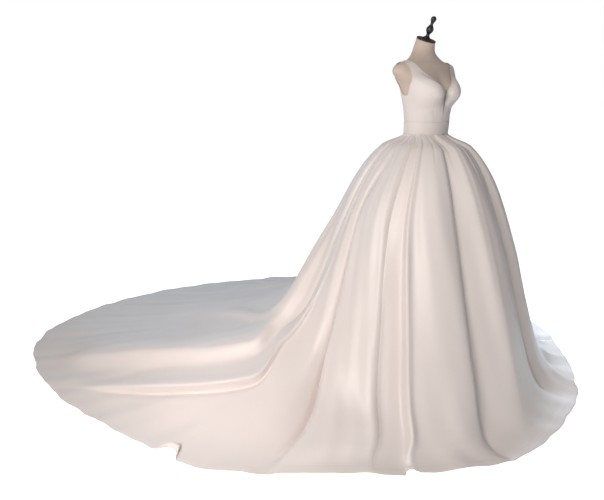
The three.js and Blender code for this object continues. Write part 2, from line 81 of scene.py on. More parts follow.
def clothPiece(name, points, cut, edge, wall, material):
    # a shell of cloth from a grid: points in mm, cut and edge are maps in metres
    rows, columns = points.shape[:2]
    bm = bmesh.new()
    bmesh.ops.create_grid(bm, x_segments=columns - 1, y_segments=rows - 1, size=1)
    c = np.array([round((v.co.x + 1) / 2 * (columns - 1)) for v in bm.verts])
    r = np.array([round((v.co.y + 1) / 2 * (rows - 1)) for v in bm.verts])
    places = points[r, c] * mm
    for v, place in zip(bm.verts, places):
        v.co = place
    mesh = bpy.data.meshes.new(name)
    bm.to_mesh(mesh)
    bm.free()
    corners = np.zeros(len(mesh.loops), np.int32)
    mesh.loops.foreach_get("vertex_index", corners)
    for label, chart in (("cut", cut), ("edge", edge)):
        layer = mesh.uv_layers.new(name=label)
        layer.uv.foreach_set("vector", chart[r, c][corners].astype(np.float32).ravel())
    mesh.polygons.foreach_set("use_smooth", np.ones(len(mesh.polygons), bool))
    mesh.materials.append(material)
    piece = bpy.data.objects.new(name, mesh)
    scene.collection.objects.link(piece)
    thick = piece.modifiers.new("wall", "SOLIDIFY")
    thick.thickness = wall * mm
    thick.offset = 1
    thick.use_even_offset = False
    even = piece.modifiers.new("normals", "WEIGHTED_NORMAL")
    even.weight = 65
    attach(piece, "root")
    return piece


# node helpers for the materials

def addNode(tree, kind, at=(0, 0), **values):
    node = tree.nodes.new(kind)
    node.location = at
    for key, value in values.items():
        setattr(node, key, value)
    return node


def link(tree, a, b):
    tree.links.new(a, b)


def calc(tree, operation, a, b=None, c=None):
    node = addNode(tree, "ShaderNodeMath", operation=operation)
    for socket, value in zip(node.inputs, (a, b, c)):
        if value is None:
            continue
        if isinstance(value, (int, float)):
            socket.default_value = value
        else:
            link(tree, value, socket)
    return node.outputs[0]


def newGroup(name, inputs, outputs):
    tree = bpy.data.node_groups.new(name, "ShaderNodeTree")
    for label, kind, value in inputs:
        socket = tree.interface.new_socket(label, in_out="INPUT", socket_type=kind)
        socket.default_value = value
    for label, kind in outputs:
        tree.interface.new_socket(label, in_out="OUTPUT", socket_type=kind)
    return tree, addNode(tree, "NodeGroupInput"), addNode(tree, "NodeGroupOutput")


number, tint = "NodeSocketFloat", "NodeSocketColor"


def satinGroup():
    # long floats of a satin weave on the cut map, slubs along the warp and a slow change of shade
    tree, given, out = newGroup(
        "satinWeave",
        [("Threads", number, 2600.0), ("Light", tint, (1, 1, 1, 1)), ("Deep", tint, (1, 1, 1, 1)),
         ("Gloss", number, 0.4)],
        [("Colour", tint), ("Roughness", number), ("Height", number)])
    chart = addNode(tree, "ShaderNodeUVMap", uv_map="cut")
    place = addNode(tree, "ShaderNodeTexCoord")
    floats = addNode(tree, "ShaderNodeTexBrick", offset=0.4)
    floats.inputs["Color1"].default_value = (1, 1, 1, 1)
    floats.inputs["Color2"].default_value = (0.82, 0.82, 0.82, 1)
    floats.inputs["Mortar"].default_value = (0, 0, 0, 1)
    floats.inputs["Mortar Size"].default_value = 0.12
    floats.inputs["Mortar Smooth"].default_value = 0.6
    floats.inputs["Brick Width"].default_value = 5.0
    floats.inputs["Row Height"].default_value = 1.0
    link(tree, chart.outputs["UV"], floats.inputs["Vector"])
    link(tree, given.outputs["Threads"], floats.inputs["Scale"])
    turned = addNode(tree, "ShaderNodeMapping")
    turned.inputs["Scale"].default_value = (900, 12, 1)
    link(tree, chart.outputs["UV"], turned.inputs["Vector"])
    slub = addNode(tree, "ShaderNodeTexNoise")
    slub.inputs["Scale"].default_value = 1.0
    slub.inputs["Detail"].default_value = 2.0
    link(tree, turned.outputs["Vector"], slub.inputs["Vector"])
    cloud = addNode(tree, "ShaderNodeTexNoise")
    cloud.inputs["Scale"].default_value = 2.6
    cloud.inputs["Detail"].default_value = 3.0
    link(tree, place.outputs["Object"], cloud.inputs["Vector"])
    shade = addNode(tree, "ShaderNodeMix", data_type="RGBA")
    spread = calc(tree, "MULTIPLY_ADD", cloud.outputs["Fac"], 1.6, -0.3)
    threadShade = calc(tree, "MULTIPLY_ADD", slub.outputs["Fac"], 0.3, -0.15)
    link(tree, calc(tree, "ADD", spread, threadShade), shade.inputs["Factor"])
    link(tree, given.outputs["Light"], shade.inputs["A"])
    link(tree, given.outputs["Deep"], shade.inputs["B"])
    link(tree, shade.outputs["Result"], out.inputs["Colour"])
    dull = calc(tree, "MULTIPLY_ADD", cloud.outputs["Fac"], 0.12, -0.06)
    threadDull = calc(tree, "MULTIPLY_ADD", slub.outputs["Fac"], 0.10, -0.05)
    rough = calc(tree, "ADD", calc(tree, "ADD", dull, threadDull), given.outputs["Gloss"])
    link(tree, rough, out.inputs["Roughness"])
    height = calc(tree, "MULTIPLY_ADD", slub.outputs["Fac"], 0.6, floats.outputs["Fac"])
    link(tree, height, out.inputs["Height"])
    return tree


def stitchGroup():
    # a row of stitches at a distance from the edge, on the edge map: across the edge, then along it
    tree, given, out = newGroup(
        "stitchRow", [("Inset", number, 0.006), ("Pitch", number, 0.003), ("Width", number, 0.0007)],
        [("Stitch", number), ("Pull", number)])
    chart = addNode(tree, "ShaderNodeUVMap", uv_map="edge")
    parts = addNode(tree, "ShaderNodeSeparateXYZ")
    link(tree, chart.outputs["UV"], parts.inputs["Vector"])
    off = calc(tree, "ABSOLUTE", calc(tree, "SUBTRACT", parts.outputs["X"], given.outputs["Inset"]))
    near = calc(tree, "SUBTRACT", 1.0, calc(tree, "DIVIDE", off, given.outputs["Width"]))
    line = calc(tree, "MAXIMUM", near, 0.0)
    beat = calc(tree, "FRACT", calc(tree, "DIVIDE", parts.outputs["Y"], given.outputs["Pitch"]))
    dash = calc(tree, "LESS_THAN", beat, 0.72)
    link(tree, calc(tree, "MULTIPLY", line, dash), out.inputs["Stitch"])
    wide = calc(tree, "MULTIPLY", given.outputs["Width"], 5.0)
    dip = calc(tree, "SUBTRACT", 1.0, calc(tree, "DIVIDE", off, wide))
    link(tree, calc(tree, "MAXIMUM", dip, 0.0), out.inputs["Pull"])
    return tree


def crumpleGroup():
    # soft handling creases that the weave carries everywhere
    tree, given, out = newGroup(
        "softCrumple", [("Size", number, 9.0), ("Fine", number, 0.3)], [("Height", number)])
    place = addNode(tree, "ShaderNodeTexCoord")
    broad = addNode(tree, "ShaderNodeTexNoise")
    broad.inputs["Detail"].default_value = 2.0
    broad.inputs["Distortion"].default_value = 0.6
    link(tree, place.outputs["Object"], broad.inputs["Vector"])
    link(tree, given.outputs["Size"], broad.inputs["Scale"])
    small = addNode(tree, "ShaderNodeTexNoise")
    small.inputs["Detail"].default_value = 3.0
    link(tree, place.outputs["Object"], small.inputs["Vector"])
    link(tree, calc(tree, "MULTIPLY", given.outputs["Size"], 4.3), small.inputs["Scale"])
    fine = calc(tree, "MULTIPLY", small.outputs["Fac"], given.outputs["Fine"])
    link(tree, calc(tree, "ADD", broad.outputs["Fac"], fine), out.inputs["Height"])
    return tree


weaveTree, stitchTree, crumpleTree = satinGroup(), stitchGroup(), crumpleGroup()

satinLook = {
    "light": (0.80, 0.728, 0.693, 1),
    "deep": (0.755, 0.676, 0.640, 1),
    "thread": (0.66, 0.57, 0.52, 1),
    "gloss": 0.42,
    "sheen": 0.25,
}


def satinMaterial(name, threads, inset, pitch, crumple, gloss):
    mat = bpy.data.materials.new(name)
    mat.use_nodes = True
    tree = mat.node_tree
    shader = tree.nodes["Principled BSDF"]
    shader.inputs["Sheen Weight"].default_value = satinLook["sheen"]
    shader.inputs["Sheen Roughness"].default_value = 0.45
    shader.inputs["Anisotropic"].default_value = 0.35
    shader.inputs["Specular IOR Level"].default_value = 0.5
    weave = addNode(tree, "ShaderNodeGroup", node_tree=weaveTree)
    weave.inputs["Threads"].default_value = threads
    weave.inputs["Light"].default_value = satinLook["light"]
    weave.inputs["Deep"].default_value = satinLook["deep"]
    weave.inputs["Gloss"].default_value = gloss
    seam = addNode(tree, "ShaderNodeGroup", node_tree=stitchTree)
    seam.inputs["Inset"].default_value = inset
    seam.inputs["Pitch"].default_value = pitch
    soft = addNode(tree, "ShaderNodeGroup", node_tree=crumpleTree)
    soft.inputs["Size"].default_value = crumple
    colour = addNode(tree, "ShaderNodeMix", data_type="RGBA")
    colour.inputs["B"].default_value = satinLook["thread"]
    link(tree, weave.outputs["Colour"], colour.inputs["A"])
    link(tree, calc(tree, "MULTIPLY", seam.outputs["Stitch"], 0.7), colour.inputs["Factor"])
    link(tree, colour.outputs["Result"], shader.inputs["Base Color"])
    link(tree, weave.outputs["Roughness"], shader.inputs["Roughness"])
    broad = addNode(tree, "ShaderNodeBump")
    broad.inputs["Strength"].default_value = 0.35
    broad.inputs["Distance"].default_value = 0.004
    link(tree, soft.outputs["Height"], broad.inputs["Height"])
    sewn = addNode(tree, "ShaderNodeBump")
    sewn.inputs["Strength"].default_value = 0.5
    sewn.inputs["Distance"].default_value = 0.0006
    raised = calc(tree, "SUBTRACT", seam.outputs["Stitch"], seam.outputs["Pull"])
    link(tree, raised, sewn.inputs["Height"])
    link(tree, broad.outputs["Normal"], sewn.inputs["Normal"])
    woven = addNode(tree, "ShaderNodeBump")
    woven.inputs["Strength"].default_value = 0.12
    woven.inputs["Distance"].default_value = 0.0001
    link(tree, weave.outputs["Height"], woven.inputs["Height"])
    link(tree, sewn.outputs["Normal"], woven.inputs["Normal"])
    link(tree, woven.outputs["Normal"], shader.inputs["Normal"])
    return mat


skirtSatin = satinMaterial("skirtSatin", 2600, 0.028, 0.004, 7.0, satinLook["gloss"])
bodiceSatin = satinMaterial("bodiceSatin", 2600, 0.005, 0.0028, 16.0, satinLook["gloss"] + 0.04)
bandSatin = satinMaterial("bandSatin", 2600, 0.0035, 0.0028, 16.0, satinLook["gloss"])
print("satin mixed")

# dress form: height, half width, front and back depth, shift back, lean forwards
form = {
    "sections": [
        (900, 164, 112, 124, 14, 0), (960, 171, 116, 132, 14, 0), (1040, 153, 107, 118, 15, 0),
        (1110, 127, 95, 100, 16, 0), (1160, 118, 92, 92, 16, 0), (1220, 120, 97, 90, 17, 0),
        (1290, 129, 102, 90, 22, 0), (1345, 140, 101, 91, 29, 0), (1375, 149, 98, 92, 32, 0),
        (1400, 161, 94, 92, 36, 0), (1428, 187, 85, 90, 40, 0), (1452, 207, 77, 85, 44, 0),
        (1474, 202, 68, 77, 45, 0), (1490, 178, 61, 66, 45, 0), (1498, 155, 56, 60, 46, 0),
        (1506, 124, 53, 56, 48, 0), (1519, 98, 52, 53, 53, 0), (1535, 77, 50, 51, 57, 3),
        (1552, 63, 48, 49, 59, 8), (1575, 54, 47, 47, 57, 16), (1605, 48, 46, 46, 50, 23)],
    "bustApart": 80, "bustHeight": 1360, "bustOut": 49, "bustAcross": 56, "bustAbove": 60, "bustBelow": 48,
    "bottom": 900, "top": 1605, "columns": 120, "rowStep": 5,
}


def bustShare(x, height, forward):
    off = (np.abs(x) - form["bustApart"]) / form["bustAcross"]
    reach = np.where(height > form["bustHeight"], form["bustAbove"], form["bustBelow"])
    lift = (height - form["bustHeight"]) / reach
    return np.exp(-off * off - lift * lift) * np.maximum(forward, 0)


def formSkin(turn, height):
    half, front, back, shift, lean = curveThrough(form["sections"], height)[1:]
    forward = np.cos(turn)
    x = half * np.sin(turn)
    depth = np.where(forward > 0, front, back)
    y = -depth * forward - form["bustOut"] * bustShare(x, height, forward)
    lean = np.radians(lean)
    return np.stack([x, shift + y * np.cos(lean), height + y * np.sin(lean)], -1)


def offForm(turn, height, out, level=False):
    turn, height = np.broadcast_arrays(np.asarray(turn, float), np.asarray(height, float))
    across = formSkin(turn + 0.01, height) - formSkin(turn - 0.01, height)
    upward = formSkin(turn, height + 2) - formSkin(turn, height - 2)
    normal = np.cross(across, upward)
    if level:
        normal = normal * (1, 1, 0)
    skin = formSkin(turn, height)
    cup = 1.6 * bustShare(skin[..., 0], height, np.cos(turn))
    return skin + unit(normal) * (np.asarray(out) + cup)[..., None]


# bodice: level, neckline half width and height, armhole distance (0 on the side seam) and height
bodice = {
    "front": [
        (0, 0.15, 1220.3, 0, 1220.3), (1, 0.15, 1252, 0, 1248), (2, 4.5, 1288, 0, 1277), (3, 8, 1320, 0, 1306),
        (4, 12, 1346, 0, 1329), (5, 19, 1366, 0, 1341), (6, 35, 1385, 140, 1350), (7, 54, 1404, 143, 1369),
        (8, 72, 1422, 147, 1395), (9, 88, 1439, 152, 1421), (10, 103, 1456, 156, 1444),
        (11, 117, 1473, 159, 1464), (12, 128, 1488, 163, 1481), (13, 134, 1496, 165.5, 1488),
        (14, 137, 1500.5, 167, 1492), (15, 138.5, 1502, 168, 1493.5)],
    "back": [
        (0, 0.15, 1220.3, 0, 1220.3), (1, 0.15, 1250, 0, 1248), (2, 0.15, 1280, 0, 1277), (3, 0.15, 1306, 0, 1306),
        (4, 0.15, 1328, 0, 1329), (5, 14, 1344, 0, 1341), (6, 32, 1362, 138, 1350), (7, 52, 1384, 140, 1369),
        (8, 71, 1406, 143, 1395), (9, 88, 1428, 148, 1421), (10, 102, 1451, 153, 1444),
        (11, 116, 1471, 158, 1464), (12, 127, 1487, 163, 1481), (13, 133.5, 1496, 165.5, 1488),
        (14, 137, 1500.5, 167, 1492), (15, 138.5, 1502, 168, 1493.5)],
    "columns": 90, "rowsPerLevel": 9, "ease": 2.0, "wall": 1.6,
    "roll": 0.8, "rollWidth": 4.0,       # the turned edge stands this proud
    # a dart's place at its foot and head, and the heights over which it fades
    "darts": {"front": (52, 66, (1335, 1375)), "back": (58, 70, (1330, 1380))},
    "dartSpan": (1220, 1345), "dartDepth": 0.9, "dartWidth": 2.2,
    "closingDepth": 0.8, "closingWidth": 2.5,
    "pull": 0.5, "pullHeight": 1255, "pullReach": 26, "pullWave": 9.0,     # faint drag lines above the waistband
    "cupProud": 12.0, "cupFoot": (1268, 1348), "cupTop": (1400, 1455),
}


def bodicePiece(name, face, side):
    rows = np.array(bodice[face], float)
    isFront = face == "front"
    halfAt = lambda height: curveThrough(form["sections"], height)[1]
    neckTurn = np.arcsin(np.clip(rows[:, 1] / halfAt(rows[:, 2]), -1, 1))
    armTurn = np.where(rows[:, 3] == 0, math.pi / 2, np.arcsin(np.clip(rows[:, 3] / halfAt(rows[:, 4]), -1, 1)))
    if not isFront:
        neckTurn, armTurn = math.pi - neckTurn, math.pi - armTurn
    table = np.stack([rows[:, 0], neckTurn, rows[:, 2], armTurn, rows[:, 4]], -1)
    levels = np.linspace(0, 15, 15 * bodice["rowsPerLevel"] + 1)
    _, neckTurn, neckHeight, armTurn, armHeight = curveThrough(table, levels)
    share = np.linspace(0, 1, bodice["columns"] + 1)
    turn = mix(neckTurn[:, None], armTurn[:, None], share)
    height = mix(neckHeight[:, None], armHeight[:, None], share)
    lie = offForm(side * turn, height, bodice["ease"])
    fromNeck = runLength(lie, 1)
    fromArm = fromNeck[:, -1:] - fromNeck
    openArm = ease(levels, 5.6, 6.2)[:, None]
    openNeck = ease(levels, 1.0, 2.0)[:, None] if isFront else ease(levels, 4.2, 5.0)[:, None]
    roll = openNeck * np.exp(-(fromNeck / bodice["rollWidth"]) ** 2)
    roll = roll + openArm * np.exp(-(fromArm / bodice["rollWidth"]) ** 2)
    # the dart runs from under the bust down to the waistband
    low, high, fade = bodice["darts"][face]
    line = np.abs(np.sin(turn) * halfAt(height)) - mix(low, high, ease(height, *bodice["dartSpan"]))
    dart = np.exp(-(line / bodice["dartWidth"]) ** 2) * (1 - ease(height, *fade))
    out = bodice["ease"] + bodice["roll"] * roll - bodice["dartDepth"] * dart
    if isFront:      # the cups stand proud of the midriff
        cups = ease(height, *bodice["cupFoot"]) * (1 - ease(height, *bodice["cupTop"]))
        out = out + bodice["cupProud"] * cups * ease(np.cos(turn), 0.05, 0.5) * ease(fromNeck, 0, 30)
    else:            # the closing at the centre back
        dip = np.exp(-(fromNeck / bodice["closingWidth"]) ** 2)
        out = out - bodice["closingDepth"] * dip * (1 - openNeck)
    pull = bodice["pull"] * np.sin(height / bodice["pullWave"] + 3 * np.sin(turn * 5))
    pull = pull * np.exp(-((height - bodice["pullHeight"]) / bodice["pullReach"]) ** 2)
    points = offForm(side * turn, height, out + pull * ease(fromNeck, 4, 30))
    points[0] = offForm(side * turn[0], height[0], out[0], level=True)
    cut = np.stack([fromNeck, runLength(lie, 0)], -1) * mm
    toEdge = np.minimum(np.where(openNeck > 0.5, fromNeck, 99), np.where(openArm > 0.5, fromArm, 99))
    along = runLength(lie, 0)
    edge = np.stack([toEdge, np.broadcast_to(along[:, :1], along.shape)], -1) * mm
    if (side == 1) != isFront:
        points, cut, edge = points[:, ::-1], cut[:, ::-1], edge[:, ::-1]
    piece = clothPiece(name + "_satin", points, cut, edge, bodice["wall"], bodiceSatin)
    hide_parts(name)
    return piece


for face in ("front", "back"):
    for label, side in (("right", -1), ("left", 1)):
        name = f"bodice_{face}_{label}"
        bodicePiece(name, face, side)
print("bodice cut")

# waistband: stretches between two turns of the form, in degrees
band = {
    "bottom": 1160, "height": 60, "ease": 2.0, "wall": 2.4, "pillow": 1.1, "rows": 40,
    "pieces": [("waistband_front", -90, 90, 220), ("waistband_back_left", 90, 180, 110),
               ("waistband_back_right", -180, -90, 110)],
}


def bandPiece(name, start, end, columns):
    turn = np.radians(np.linspace(start, end, columns + 1))[None, :]
    share = np.linspace(0, 1, band["rows"] + 1)[:, None]
    height = band["bottom"] + 0.15 + (band["height"] - 0.3) * share
    puff = band["pillow"] * (1 - (2 * share - 1) ** 6) * 0.5
    soft = 0.5 * np.sin(turn * 9 + share * 3) * np.sin(math.pi * share) * np.sin(turn * 2.3 + 1)
    points = offForm(turn, height, band["ease"] + puff + soft * 0.6, level=True)
    run = runLength(points, 1)
    cut = np.stack([run, np.broadcast_to(share * band["height"], run.shape)], -1) * mm
    toEdge = np.minimum(share, 1 - share) * band["height"]
    edge = np.stack([np.broadcast_to(toEdge, run.shape), run], -1) * mm
    piece = clothPiece(name + "_satin", points, cut, edge, band["wall"], bandSatin)
    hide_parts(name)
    return piece


bandPieces = {spec[0]: bandPiece(*spec) for spec in band["pieces"]}
print("waistband cut")

# skirt: ring, reach to the front, across and along the train, height at the front and at the train
skirt = {
    "sections": [
        (0, 118, 118, 122, 1159.7, 1159.7), (1, 148, 152, 158, 1130, 1130), (2, 202, 210, 216, 1086, 1086),
        (3, 256, 268, 280, 1012, 1008), (4, 302, 320, 334, 920, 915), (5, 340, 370, 384, 815, 805),
        (6, 376, 420, 435, 700, 685), (7, 408, 470, 490, 575, 555), (8, 440, 522, 553, 445, 420),
        (9, 474, 576, 632, 315, 285), (10, 508, 630, 735, 200, 168), (11, 545, 684, 885, 105, 88),
        (12, 592, 737, 1090, 40, 44), (13, 654, 790, 1370, 8, 20), (14, 724, 838, 1710, 0, 4),
        (15, 796, 884, 2085, 0, 0)],
    "sweep": 54, "lateSwing": 1.9, "frontFullness": 0.13, "farTrim": 0.05, "wall": 2.0,
    # bearing, spread, share of the reach
    "hemSwells": [(-172, 12, -0.02), (-124, 14, 0.03), (-77, 11, 0.055), (-6, 16, 0.02)],
    # pleat valleys: bearing at the waist and at the hem, how far the middle leans to the train, depth
    "valleys": [
        (-182, -182, 0, 40), (-146, -152, 0, 42), (-98, -125, 0, 54), (-58, -103, 5, 66), (-36, -87, 9, 56),
        (-14, -38, 0, 40), (3, -17, 0, 40), (22, 24, 0, 44), (42, 70, 0, 46), (66, 94, 0, 46),
        (94, 113, 0, 44), (122, 132, 0, 44), (150, 154, 0, 42)],
    # across a pleat from one valley to the next: share of the way, rise
    "profiles": {
        "box": [(0, 0), (0.05, 0.34), (0.1, 0.68), (0.16, 0.92), (0.3, 1), (0.55, 1.04), (0.76, 0.98), (0.87, 0.86),
                (0.93, 0.5), (0.97, 0.2), (1, 0)],
        "slant": [(0, 0), (0.08, 0.2), (0.2, 0.55), (0.38, 0.9), (0.55, 1.04), (0.75, 1.02), (0.86, 0.9),
                  (0.93, 0.55), (0.97, 0.2), (1, 0)],
        "ridge": [(0, 0), (0.1, 0.3), (0.25, 0.62), (0.42, 0.9), (0.55, 1.06), (0.595, 1.12), (0.64, 1.02),
                  (0.74, 0.62), (0.85, 0.28), (0.94, 0.07), (1, 0)],
        "double": [(0, 0), (0.03, 0.2), (0.065, 0.58), (0.11, 0.88), (0.25, 1.04), (0.42, 1.03), (0.54, 0.96),
                   (0.62, 0.91), (0.665, 0.93), (0.7, 1.0), (0.72, 1.03), (0.738, 0.9), (0.758, 0.64),
                   (0.785, 0.5), (0.84, 0.53), (0.92, 0.66), (1, 0.8)],
        "edge": [(0, 0.8), (0.018, 0.86), (0.042, 0.95), (0.075, 1.0), (0.2, 1.03), (0.5, 1.06), (0.75, 1.02),
                 (0.89, 0.95), (0.945, 0.72), (0.98, 0.3), (1, 0)],
        "sweep": [(0, 0), (0.04, 0.16), (0.1, 0.42), (0.2, 0.74), (0.32, 0.95), (0.5, 1.02), (0.8, 0.98),
                  (0.93, 0.7), (0.975, 0.3), (1, 0)],
    },
    "pleats": ["box", "ridge", "double", "edge", "sweep", "box", "slant", "box", "slant", "box", "slant", "box",
               "slant"],
    "pleatDepths": [(0, 0), (0.4, 0.1), (1, 0.22), (3, 0.5), (6, 0.86), (9, 1), (12, 0.92), (13, 0.68), (14, 0.36),
                    (15, 0.16)],
    # long folds of the train: from, to, across, reach on the near and far side, rise
    "trainFolds": [(480, 1980, -400, 290, 290, 62), (560, 1500, 240, 110, 110, 10), (520, 1300, 520, 100, 100, 14)],
    # lanes and rings over which the pleats run out into the train's own folds
    "calm": {"from": (4.08, 4.5), "to": (7.5, 7.95), "rings": (7.5, 10.5), "rise": 42.0},
    # small waves: size, turns by lane and by ring (or round the hem), start
    "wander": [(2.2, 7.1, 0.45, 1.0), (1.54, 12.7, -0.6, 0.0), (1.1, 23.3, 1.0, 0.0)],
    "hemRipple": [(1.6, 31, 1.0), (1.6, 53, 2.2), (1.28, 17, 0.0)],
    "hemInOut": [(3.0, 23, 0.4), (2.1, 41, 1.3), (1.2, 83, 0.0)],
    "columnStep": [13, 11, 8, 9, 8.5, 13, 13, 13, 13, 13, 13, 13, 13], "rows": 170,
    "panels": [("skirt_front", 0, 3), ("skirt_side_right", 3, 4), ("skirt_back_right", 4, 7),
               ("skirt_back_left", 7, 10), ("skirt_side_left", 10, 13)],
}
alongTrain = np.array([-math.sin(math.radians(skirt["sweep"])), math.cos(math.radians(skirt["sweep"]))])
acrossTrain = np.array([math.cos(math.radians(skirt["sweep"])), math.sin(math.radians(skirt["sweep"]))])


def foldLift(along, across):
    lift = 0
    for start, end, middle, near, far, rise in skirt["trainFolds"]:
        off = across - middle
        off = off / np.where(off < 0, near, far)
        shown = ease(along, start, start + 260) * (1 - ease(along, end - 260, end))
        lift = lift + rise * np.exp(-off * off) * shown
    return lift


def hemReach(bearing, ring):
    reach = 1
    for middle, spread, share in skirt["hemSwells"]:
        apart = bearing - math.radians(middle)
        off = np.arctan2(np.sin(apart), np.cos(apart)) / math.radians(spread)
        reach = reach + ease(ring, 11, 15) * share * np.exp(-off * off)
    return reach


def skirtFloor(waist, hem, ring):
    # the skirt at the level of its valley floors, for pleat lines between two bearings
    front, breadth, train, frontHeight, trainHeight = curveThrough(skirt["sections"], ring)[1:]
    bearing = mix(waist, hem, (ring / 15) ** skirt["lateSwing"])
    reach = hemReach(bearing, ring)
    along = (train - front) / 2 + (train + front) / 2 * np.cos(bearing) * reach
    spread = (ring / 15) ** 2
    full = 1 - spread * skirt["frontFullness"] * np.cos(bearing)
    full = full - spread * skirt["farTrim"] * (1 + np.sin(bearing)) / 2
    across = breadth * np.sin(bearing) * full * reach
    height = mix(frontHeight, trainHeight, (1 + np.cos(bearing)) / 2)
    height = np.maximum(height, 0) + foldLift(along, across) * (1 - ease(ring, 13, 15))
    plan = along[..., None] * alongTrain + across[..., None] * acrossTrain
    point = np.concatenate([plan, height[..., None]], -1)
    waistLine = offForm(math.pi - bearing + math.radians(skirt["sweep"]), 1160.0, 2.0, level=True)
    waistLine[..., 2] = point[..., 2]
    return mix(waistLine, point, ease(ring, 0, 2)[..., None])


# creases, listed one by one: lane at the top, middle and foot, rings from and to, reach to the front and train side,
# rise
creases = [
    (2.66, 2.64, 2.62, 0.0, 7.0, 20, 24, -5),       # dark line above the standing ridge
    (2.72, 2.71, 2.74, 5.2, 15.0, 13, 26, 9),       # the ridge itself
    (4.0, 4.0, 4.0, 3.0, 15.0, 9, 16, -16),         # deep fold where the train turns off
    (2.97, 2.97, 2.98, 7.0, 15.0, 30, 12, -6),      # foot of the recess
    (3.1, 3.04, 2.98, 0.0, 7.6, 30, 18, -8),       # upper fold beside the recess
    (3.75, 3.9, 4.02, 0.0, 6.5, 40, 30, -9),
    (2.35, 2.33, 2.3, 0.0, 3.4, 12, 12, -5),
    (1.72, 1.7, 1.66, 0.0, 9.0, 18, 26, 7),
    (1.45, 1.42, 1.4, 0.0, 4.5, 16, 14, -6),
    (1.85, 1.86, 1.84, 0.0, 3.6, 10, 12, -5),
    (1.2, 1.24, 1.25, 0.0, 12.0, 40, 30, -9),
    (2.18, 2.3, 2.38, 9.0, 15.0, 80, 60, 7),
    (3.5, 3.52, 3.5, 7.0, 15.0, 120, 90, 3),
    (3.3, 3.26, 3.24, 0.0, 3.0, 12, 10, -4),
    (3.45, 3.5, 3.5, 0.0, 3.2, 10, 12, -4),
    (4.4, 4.3, 4.28, 0.0, 8.0, 28, 34, -8),
    (4.7, 4.7, 4.6, 0.0, 6.0, 20, 22, -7),
    (0.12, 0.1, 0.07, 11.4, 15.0, 26, 16, 13), (0.36, 0.37, 0.33, 11.8, 15.0, 18, 34, 15),
    (0.55, 0.53, 0.56, 12.0, 15.0, 24, 14, -10), (0.72, 0.76, 0.8, 12.0, 15.0, 34, 20, 14),
    (0.5, 0.48, 0.5, 0.0, 8.0, 26, 30, -8),
    (0.3, 0.32, 0.3, 0.0, 3.5, 12, 12, -5),
    (0.75, 0.72, 0.7, 6.0, 15.0, 50, 70, 8),
    (5.4, 5.4, 5.4, 0.0, 5.0, 14, 16, -6), (6.5, 6.5, 6.45, 0.0, 6.0, 18, 16, -7),
    (7.4, 7.45, 7.5, 0.0, 9.0, 24, 30, -8), (7.7, 7.66, 7.6, 6.0, 14.0, 60, 50, 8),
    (8.5, 8.45, 8.5, 0.0, 5.0, 16, 14, -6), (8.4, 8.42, 8.4, 7.0, 15.0, 50, 70, 9),
    (9.45, 9.5, 9.5, 0.0, 10.0, 26, 20, -8), (10.4, 10.45, 10.4, 0.0, 4.0, 14, 16, -6),
    (10.6, 10.56, 10.6, 6.0, 15.0, 60, 50, 8), (11.5, 11.5, 11.45, 0.0, 9.0, 24, 22, -8),
    (12.4, 12.45, 12.5, 0.0, 5.0, 16, 14, -6), (12.55, 12.5, 12.55, 7.0, 15.0, 60, 60, 8),
]
# folds that run along the train: places as along and across, reach near and far, rise, and roll to the near side
trainCreases = [
    {"path": [(430, -200), (700, -372), (780, -505), (884, -535), (1105, -538), (1386, -506), (1829, -445)],
     "near": 13, "far": 34, "rise": 18, "roll": 14, "start": 640, "end": 1800},
    {"path": [(430, -215), (700, -388), (780, -527), (884, -560), (1105, -563), (1386, -528), (1829, -465)],
     "near": 18, "far": 11, "rise": -20, "roll": 0, "start": 860, "end": 1560},
    {"path": [(430, -60), (746, -225), (806, -315), (912, -342), (1108, -345), (1481, -305), (1946, -240)],
     "near": 42, "far": 190, "rise": 34, "roll": 6, "start": 600, "end": 1950},
    {"path": [(430, -80), (746, -275), (806, -385), (912, -425), (1108, -430), (1481, -395), (1946, -330)],
     "near": 60, "far": 40, "rise": -14, "roll": 0, "start": 600, "end": 1900},
    {"path": [(430, -10), (731, -150), (860, -60), (987, 55), (1250, 190)],
     "near": 42, "far": 80, "rise": 22, "roll": 0, "start": 560, "end": 1240},
]
# turned-up bits of the hem: bearing, half width in degrees, length turned up
hemCurls = [(-71.2, 1.7, 50), (-108, 0.8, 24), (-159, 1.4, 22)]


def pleatLines():
    # every column of the skirt: its lane, bearings, lean and how far it stands off the valley floor
    lanes, waists, hems, leans, rises, seams = [], [], [], [], [], []
    count = len(skirt["valleys"])
    for n in range(count):
        here = skirt["valleys"][n]
        there = skirt["valleys"][(n + 1) % count]
        turnRound = 360 if n + 1 == count else 0
        ends = np.radians([[here[0], here[1]], [there[0] + turnRound, there[1] + turnRound]])
        foot = skirtFloor(ends[:, 0], ends[:, 1], np.array([15.0, 15.0]))
        length = np.linalg.norm(foot[1] - foot[0])
        steps = max(40, round(length / skirt["columnStep"][n]))
        share = np.arange(steps) / steps
        seams.append(sum(len(x) for x in lanes))
        lanes.append(n + share)
        waists.append(mix(ends[0, 0], ends[1, 0], share))
        hems.append(mix(ends[0, 1], ends[1, 1], share))
        leans.append(np.radians(mix(here[2], there[2], share)))
        rise = curveThrough(skirt["profiles"][skirt["pleats"][n]], share)[1]
        rises.append(rise * mix(here[3], there[3], share))
    seams.append(sum(len(x) for x in lanes))
    return [np.concatenate(x) for x in (lanes, waists, hems, leans, rises)] + [seams]


